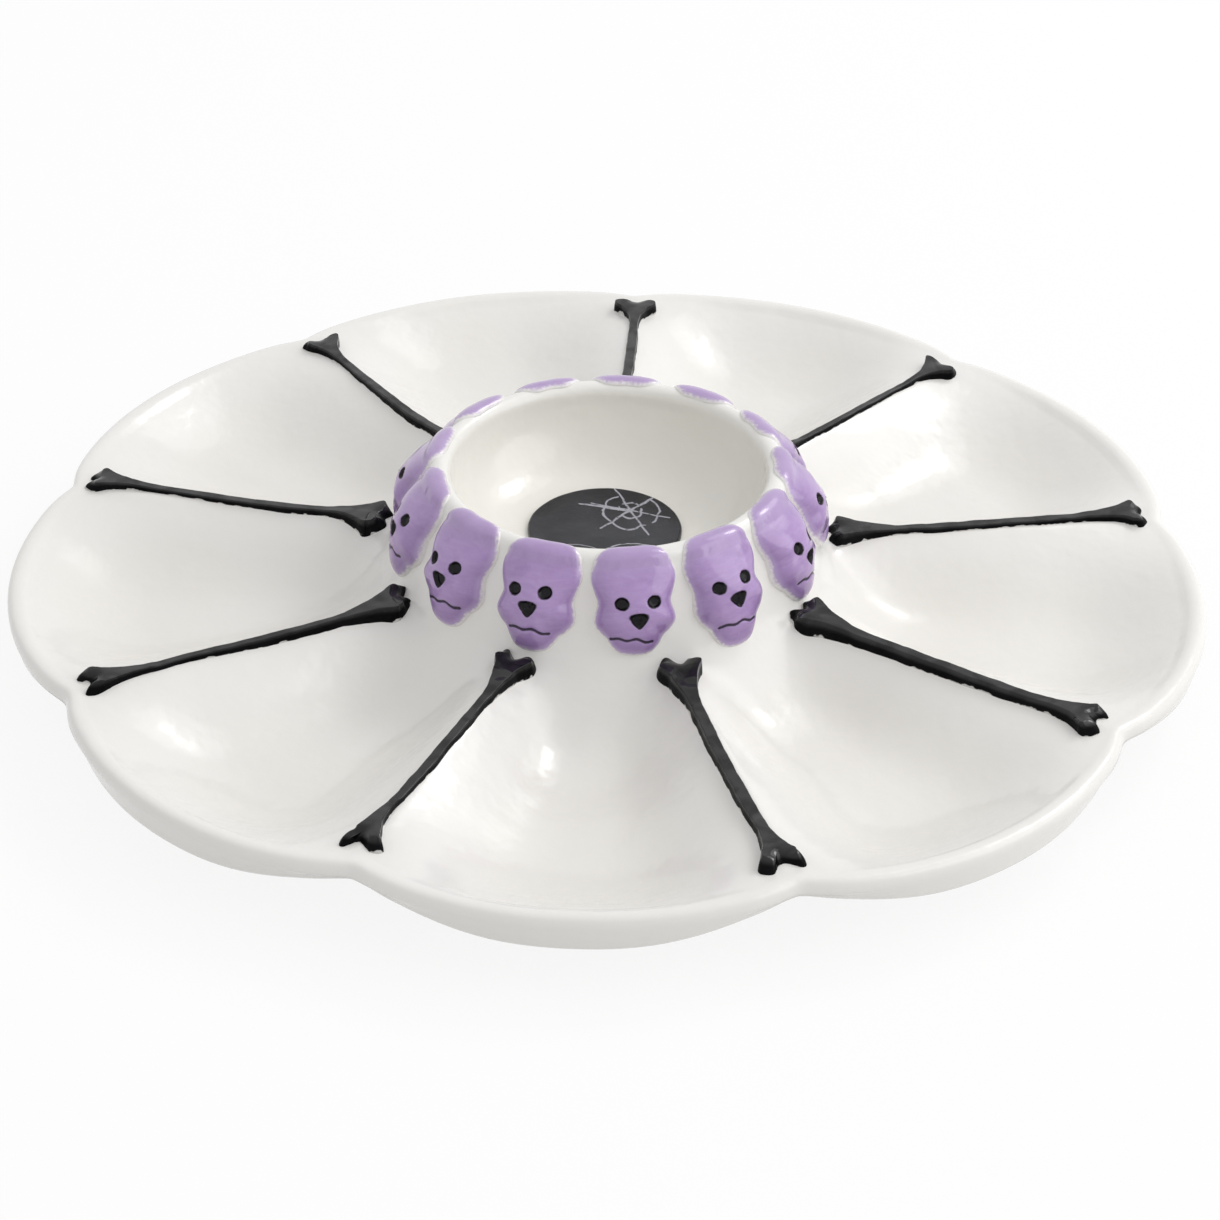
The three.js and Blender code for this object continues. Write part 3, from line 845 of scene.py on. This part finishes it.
def skull_surface(x, y, share, face, mouth):
    """Height of the face above the wall. face and mouth are the place turned with each feature."""
    pillow = (1 - share**2.05) ** 0.5 if share < 1 else 0.0
    jaw = between((y + 0.0125) / 0.0125, 0, 1)
    crown = between((y + 0.002) / (skull_height / 2), 0, 1)
    rise = skull_rise * blend(0.76, 1.0, jaw) * (1 - 0.62 * crown**1.5) * pillow
    u, v = face
    rise += (hump(u, v, 1, brow) + hump(u, v, 1, chin)) * pillow
    for side in (-1, 1):
        rise += hump(u, v, side, cheek) * pillow
        rise += hump(u, v, side, eye_hollow) + hump(u, v, side, temple)
        deep = eye_radius - math.hypot(u - side * eye_spacing / 2, v - eye_height)
        rise -= pit_depth * smooth(deep / 0.0007)
    rise -= pit_depth * smooth(nose_depth(u, v - nose_height) / 0.5)
    m, n = mouth
    from_line = abs(n - mouth_height - mouth_line(m))
    ends = smooth((mouth_half - abs(m)) / 0.0012)
    return rise - mouth_depth * smooth((0.00075 - from_line) / 0.0006) * ends


def turned(x, y, centre, angle):
    """The place seen from a centre, both in metres, with its axes turned by the angle."""
    dx, dy = x - centre[0], y - centre[1]
    return dx * math.cos(angle) + dy * math.sin(angle), dy * math.cos(angle) - dx * math.sin(angle)


def on_bowl_wall(turn, x, y, z):
    """Wraps a flat skull on the bowl: x round it, y up the wall and over the lip, z out of it."""
    shoulder = skull_height / 2 - crown_reach
    over = max(0.0, y - shoulder)
    tilt = over / lip_radius * crown_wrap + wall_lean
    foot_height = shoulder_height - max(0.0, shoulder - y) * math.cos(wall_lean)
    foot_reach = wall_radius(foot_height)
    reach = lip_radius + z if over > 0 else z
    start = shoulder_radius - lip_radius if over > 0 else foot_reach
    radius = start + reach * math.cos(tilt)
    angle = turn + x / foot_reach
    return radius * math.cos(angle), radius * math.sin(angle), foot_height + reach * math.sin(tilt)


def skull_piece(number, glaze):
    """One skull: its outline, its face in rings from the middle out, and a flat back in the wall."""
    rng = random.Random(700 + number)
    usual = [rng.uniform(-5, 5), rng.uniform(-6, 6)] + [rng.uniform(-0.6, 0.6) for _ in range(4)]
    usual += [rng.uniform(-0.8, 1.4), rng.uniform(-0.8, 0.8)]
    traits = skull_traits.get(number, usual)
    eye_tilt, mouth_tilt, face_x, face_y, mouth_x, mouth_y, chin_drop, chin_lean = traits
    face_middle = (0.001 * face_x, 0.001 * face_y)
    mouth_middle = (0.001 * mouth_x, 0.001 * mouth_y)
    turn = first_skull + (number - 1) * 2 * math.pi / skull_count
    half = [(sx * skull_width / 2, sy * skull_height / 2) for sx, sy in skull_outline]
    loop = [half[0]] + [(-x, y) for x, y in half[1:-1]] + [half[-1]] + half[-2:0:-1]
    shaped = []
    for x, y in loop:
        jaw = between((-y - 0.004) / 0.0108, 0, 1)
        growth = 1 + 0.035 * noise.noise(Vector((x * 120, y * 120, number * 3.1)))
        shaped.append((x * growth + 0.001 * chin_lean * jaw, y * growth - 0.001 * chin_drop * jaw))
    dense = smooth_loop(shaped)
    outline = even_line(dense + dense[:1], spokes)[:-1]
    middle = turned(*skull_middle, face_middle, math.radians(eye_tilt))
    paint_places = [(middle, middle, 0.0), (middle, middle, 1.0)]
    columns = []
    for edge_point in outline:
        column = []
        for r in range(1, rings + 1):
            share = 1 - (1 - r / rings) ** ring_crowding
            x, y = skull_middle.lerp(edge_point, share)
            face = turned(x, y, face_middle, math.radians(eye_tilt))
            m, n = turned(x, y - mouth_height, mouth_middle, math.radians(mouth_tilt))
            mouth = (m, n + mouth_height)
            rise = skull_surface(x, y, share, face, mouth)
            column.append(on_bowl_wall(turn, x, y, rise))
            paint_places.append((face, mouth, share))
        column.append(on_bowl_wall(turn, edge_point.x * 1.01, edge_point.y * 1.01, -0.0004))
        column.append(on_bowl_wall(turn, *edge_point, -skull_sunk))
        paint_places += [(face, mouth, 1.0)] * 2
        columns.append(column)
    top = on_bowl_wall(turn, *skull_middle, skull_rise)
    under = on_bowl_wall(turn, *skull_middle, -skull_sunk)
    points, faces = closed_skin(columns, top, under)
    name = f"skull_{number}"
    piece = fired_piece(f"painted_{name}", points, faces, glaze, name)
    face_place = piece.data.attributes.new("face_place", "FLOAT_VECTOR", "POINT")
    mouth_place = piece.data.attributes.new("mouth_place", "FLOAT_VECTOR", "POINT")
    for i, (face, mouth, share) in enumerate(paint_places):
        face_place.data[i].vector = (face[0] * 1000, face[1] * 1000, share)
        mouth_place.data[i].vector = (mouth[0] * 1000, mouth[1] * 1000, number)


deep_lilac = (0.395, 0.255, 0.53)
plain_lilac = (0.45, 0.308, 0.59)
patch_lilac = (0.265, 0.155, 0.37)
pooling_and_shade_lilac = (0.245, 0.145, 0.35)
dusty_lilac = (0.56, 0.44, 0.68)
thin_and_lit_lilac = (0.58, 0.47, 0.70)
slip_white = (0.83, 0.81, 0.80)
ink_black = (0.004, 0.003, 0.005)


def lilac_glaze():
    """Lilac brushed on by hand. face_place holds millimetres across and up the face, and the share of
    the way out to the edge; mouth_place holds the same for the mouth, and the skull's number."""
    glaze = new_glaze("lilac_glaze")
    where = glaze.add("TexCoord", {}, {}, "Object")
    u, v, rim = glaze.split(glaze.add("Attribute", {"attribute_name": "face_place"}, {}, "Vector"))
    m, n, number = glaze.split(glaze.add("Attribute", {"attribute_name": "mouth_place"}, {}, "Vector"))
    sway = glaze.clouds(where, 180.0, 2.0)
    stroke_place = {"X": u * 0.16 + sway * 1.6, "Y": v * 0.55 + sway, "Z": number}
    strokes = glaze.clouds(glaze.add("CombineXYZ", {}, stroke_place), 1.6, 4.0, distortion=0.5)
    patches = glaze.clouds(where, 130.0, 2.0)
    fine = glaze.clouds(where, 900.0, 3.0)
    colour = glaze.mix(deep_lilac, plain_lilac, strokes.step(0.2, 0.8))
    colour = glaze.mix(colour, patch_lilac, patches.step(0.5, 0.75) * 0.35)
    # Painted shade: darker lilac towards the edges and most on the lower part of the face, partly glaze
    # that pools there.
    pooled_glaze_and_shade = rim.step(0.40, 0.86) * (1.0 - v.step(-6.0, 12.0) * 0.6)
    colour = glaze.mix(colour, pooling_and_shade_lilac, pooled_glaze_and_shade * 0.5)
    colour = glaze.mix(colour, dusty_lilac, fine.step(0.5, 0.8) * 0.12)
    # Painted light: paler lilac over the top of the crown; the paler edge all round is thinner paint.
    thin_edge_and_lit_top = rim.step(0.84, 0.98).most(v.step(8.0, 14.0) * 0.6)
    colour = glaze.mix(colour, thin_and_lit_lilac, thin_edge_and_lit_top * 0.55)
    bare = (rim + fine * 0.07).step(0.975, 1.03)
    colour = glaze.mix(colour, slip_white, bare)
    ragged = (glaze.clouds(where, 700.0, 2.0) - 0.5) * 0.9
    eye = ((abs(u) - 4.1) ** 2.0 + (v - 1.9) ** 2.0) ** 0.5 + ragged * 0.5
    half = (v + 5.2).most(0.0) * 0.5 + 0.9
    nose = (u / half) ** 2.0 + abs((v + 3.1) / 2.2) ** 2.6 + ragged * 0.4
    wave = (m * 1.317).maths("SINE") * 0.28 + (m * 0.583 + 1.0).maths("SINE") * 0.22
    mouth = abs(n + 8.7 - wave) + ragged * 0.35 + (abs(m) - 5.6).most(0.0) * 1.2
    ink = (1.0 - eye.step(1.7, 2.1)).most(1.0 - nose.step(0.95, 1.45))
    ink = ink.most((1.0 - mouth.step(0.24, 0.6)) * 0.9)
    ink = ink * (0.90 + glaze.clouds(where, 1500.0, 2.0) * 0.25).least(1.0)
    colour = glaze.mix(colour, ink_black, ink)
    ripple = glaze.clouds(where, 190.0, 2.0) + strokes * 0.04 + fine * 0.03
    bump = glaze.add("Bump", {}, {"Strength": 0.5, "Distance": 0.0006, "Height": ripple})
    return glaze.fire(
        Base_Color=colour,
        Roughness=0.3,
        IOR=1.15,
        Coat_Weight=1.0 - ink * 0.75,
        Coat_Roughness=0.10,
        Coat_IOR=1.55,
        Normal=bump,
    )


lilac_paint = lilac_glaze()
for number in range(1, skull_count + 1):
    skull_piece(number, lilac_paint)

# Disc: the black spot painted on the bowl's floor, brushed on as the plate turned, so that its edge
# isn't quite round. A spider's web is scratched through the paint, and two loops at its front edge.
disc_low, disc_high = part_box("medallion")
disc_radius = (disc_high.x - disc_low.x) / 2
disc_thickness = disc_high.z - disc_low.z
disc_top = disc_high.z
disc_foot = disc_low.z - 0.0004
disc_middle = Vector((-0.0009, 0.0010, 0.0))
disc_spokes = 160
disc_edge_steps = 4


def disc_points():
    """The paint's low round skin, a little to the left of the bowl's middle and behind it."""
    columns = []
    for i in range(disc_spokes):
        turn = 2 * math.pi * i / disc_spokes
        away = Vector((math.cos(turn), math.sin(turn), 0.0))
        uneven = 0.012 * noise.noise(away * 1.6) + 0.004 * noise.noise(away * 5)
        reach = disc_radius * (0.985 + uneven)
        column = []
        for share in (0.3, 0.6, 0.9, 0.96):
            column.append((*(disc_middle + away * reach * share).xy, disc_top))
        for k in range(disc_edge_steps + 1):
            angle = math.pi / 2 * k / disc_edge_steps
            out = reach - disc_thickness * 0.5 * (1 - math.sin(angle))
            level = disc_top - disc_thickness * (1 - math.cos(angle))
            column.append((*(disc_middle + away * out).xy, level))
        column.append((*(disc_middle + away * reach).xy, disc_foot))
        columns.append(column)
    return closed_skin(columns, (*disc_middle.xy, disc_top), (*disc_middle.xy, disc_foot))


# The web in millimetres: its hub, its threads, its first ring and the gap to the next, and its reach
web_hub = (6.2, 10.6)
web_threads = 6
first_ring = 3.1
ring_gap = 4.3
web_reach = 9.0
left_loop = ((-9.5, -17.0), 7.6)
right_loop = ((8.4, -15.5), 7.4)


def scratched_web(x, y, worn):
    """Distance in millimetres to the nearest thread or ring of the web round its hub."""
    dx, dy = x - web_hub[0], (y - web_hub[1]) * 0.76
    out = (dx * dx + dy * dy) ** 0.5
    angle = dy.maths("ARCTAN2", dx)
    swung = angle + (angle * 2.0 + 0.7).maths("SINE") * 0.16
    from_thread = abs((swung * (web_threads / 2) + 0.5).maths("SINE"))
    spoke = from_thread * out * (2 / web_threads) + (out - web_reach * 1.3).most(0.0)
    turns_out = (out * (1.0 - from_thread * 0.09) - first_ring) / ring_gap
    ring = abs(turns_out - turns_out.maths("ROUND")) * ring_gap
    ring = ring + (out - web_reach).most(0.0) + worn * 2.0
    return spoke.least(ring + (first_ring * 0.6 - out).most(0.0))


def scratched_ring(x, y, middle, radius):
    """Distance to the rounded end of a loop at the disc's front edge."""
    across, deep = (x - middle[0]) * 0.8, y - middle[1]
    return abs((across * across + deep * deep) ** 0.5 - radius)


disc_black = (0.005, 0.0055, 0.009)
disc_worn = (0.022, 0.023, 0.030)
chalk_grey = (0.40, 0.40, 0.45)


def disc_glaze():
    """Black with pale scratches, which shake and wear away in places. Lengths are in millimetres."""
    glaze = new_glaze("disc_glaze")
    where = glaze.add("TexCoord", {}, {}, "Object")
    x, y = glaze.split(where)[:2]
    shake = glaze.clouds(where, 130.0, 3.0) - 0.5
    x = x * 1000.0 + shake * 2.8
    y = y * 1000.0 - shake * 2.4
    worn = (0.43 - glaze.clouds(where, 170.0, 1.0)).most(0.0) * 5.0
    web = scratched_web(x, y, worn)
    loops = scratched_ring(x, y, *right_loop).least(scratched_ring(x, y, *left_loop) + 0.14)
    ray = abs(y - 10.4 + (x - 6.0) * 0.2) - (x + 10.0) * 0.03
    ray = ray + (x - 6.0).most(0.0) + (-9.0 - x).most(0.0)
    nearest = web.least(loops).least(ray)
    chalk = glaze.clouds(where, 800.0, 3.0)
    line = (1.0 - nearest.step(0.08, 0.46)) * (chalk * 1.3 + 0.3).least(1.0)
    line = line * chalk.step(0.22, 0.44)
    drift = glaze.clouds(where, 70.0, 3.0)
    colour = glaze.mix(disc_black, disc_worn, drift.step(0.35, 0.7))
    colour = glaze.mix(colour, chalk_grey, line)
    ripple = glaze.clouds(where, 140.0, 2.0) - line * 0.25
    bump = glaze.add("Bump", {}, {"Strength": 0.4, "Distance": 0.0005, "Height": ripple})
    return glaze.fire(Base_Color=colour, Roughness=0.2 + line * 0.25, IOR=1.38, Normal=bump)


points, faces = disc_points()
fired_piece("painted_disc", points, faces, disc_glaze(), "medallion")

# Table and light: a plain white table in a white room, with a round soft lamp behind the plate on its
# right and a glow round it, which draw the highlights on the glaze, and a broad dim lamp at its right.
table_colour = (0.82, 0.82, 0.82, 1.0)
table_half = 3.0
white = (1.0, 1.0, 1.0, 1.0)
table_glow = 1.02
table_seen = 0.86
room_strength = 0.66


def seen_share(paint):
    """1 where the camera or a reflection looks, and 0 for light that falls on the plate."""
    names = ("Is Camera Ray", "Is Glossy Ray", "Is Transmission Ray")
    seen, mirrored, through = (paint.add("LightPath", {}, {}, name) for name in names)
    return (seen + mirrored + through).least(1.0)


def table_paint():
    paint = new_glaze("table_paint")
    plain = paint.add("BsdfDiffuse", {}, {"Color": table_colour})
    bright = paint.add("Emission", {}, {"Color": white, "Strength": table_glow})
    lit = paint.add("MixShader", {}, {0: table_seen, 1: plain, 2: bright})
    shown = paint.add("MixShader", {}, {0: seen_share(paint), 1: plain, 2: lit})
    paint.add("OutputMaterial", {}, {"Surface": shown})
    return paint.owner


table_mesh = bpy.data.meshes.new("white_table")
corners = [(x * table_half, y * table_half, 0.0) for x, y in ((-1, -1), (1, -1), (1, 1), (-1, 1))]
table_mesh.from_pydata(corners, [], [(0, 1, 2, 3)])
table_mesh.materials.append(table_paint())
table = bpy.data.objects.new("white_table", table_mesh)
bpy.context.collection.objects.link(table)

room = Recipe(bpy.data.worlds.new("white_room"))
room_light = room.add("Background", {}, {"Color": white, "Strength": room_strength})
room_seen = room.add("Background", {}, {"Color": white, "Strength": 1.0})
room_mix = room.add("MixShader", {}, {0: seen_share(room), 1: room_light, 2: room_seen})
room.add("OutputWorld", {}, {"Surface": room_mix})
bpy.context.scene.world = room.owner


def soft_lamp(name, turn, rise, distance, size, power):
    """A round lamp, turned and raised in degrees, with its distance and size in metres."""
    data = bpy.data.lights.new(name, "AREA")
    data.shape = "DISK"
    data.size = size
    data.energy = power
    lamp = bpy.data.objects.new(name, data)
    direction = way_out(math.radians(turn), math.radians(rise))
    lamp.location = direction * distance
    lamp.rotation_euler = direction.to_track_quat("Z", "Y").to_euler()
    bpy.context.collection.objects.link(lamp)


soft_lamp("back_lamp", 42, 47, 1.8, 0.48, 3.7)
soft_lamp("back_glow", 42, 47, 1.9, 1.20, 4.8)
soft_lamp("right_lamp", 352, 36, 1.8, 1.70, 9.5)

bpy.context.scene.view_settings.view_transform = "Standard"
